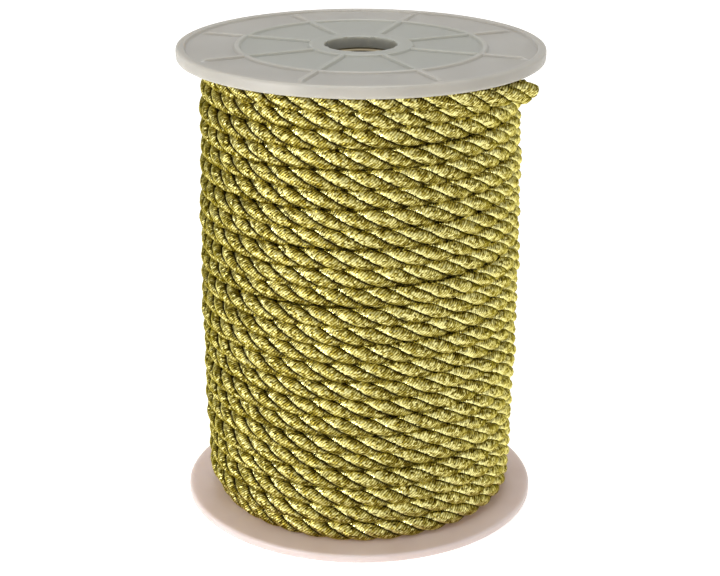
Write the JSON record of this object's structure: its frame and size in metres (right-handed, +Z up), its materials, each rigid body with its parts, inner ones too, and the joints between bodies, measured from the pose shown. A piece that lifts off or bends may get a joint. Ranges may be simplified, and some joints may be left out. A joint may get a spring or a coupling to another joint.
{
  "type": "reel of twisted metallic cord",
  "caption": "Upright ribbed plastic reel wound full of thick gold three-ply metallic cord, with a spindle hole through its tube.",
  "frame": {"origin": "centre of the bottom flange's underside, on the surface the reel stands on", "axes": "+Z up the reel's axis; -Y towards the viewer of the picture; +X to the right"},
  "size_m": [0.096, 0.096, 0.126],
  "materials": {
    "reel_plastic": "translucent white, satin moulded",
    "tube_board": "grey-brown wound board, matt",
    "metallic_cord": "glittering gold metallic thread, twisted"
  },
  "bodies": {
    "root": {"top_flange": "reel_plastic", "bottom_flange": "reel_plastic", "core_tube": "tube_board", "wound_cord": "metallic_cord", "cord_end": "metallic_cord"}
  },
  "joints": []
}
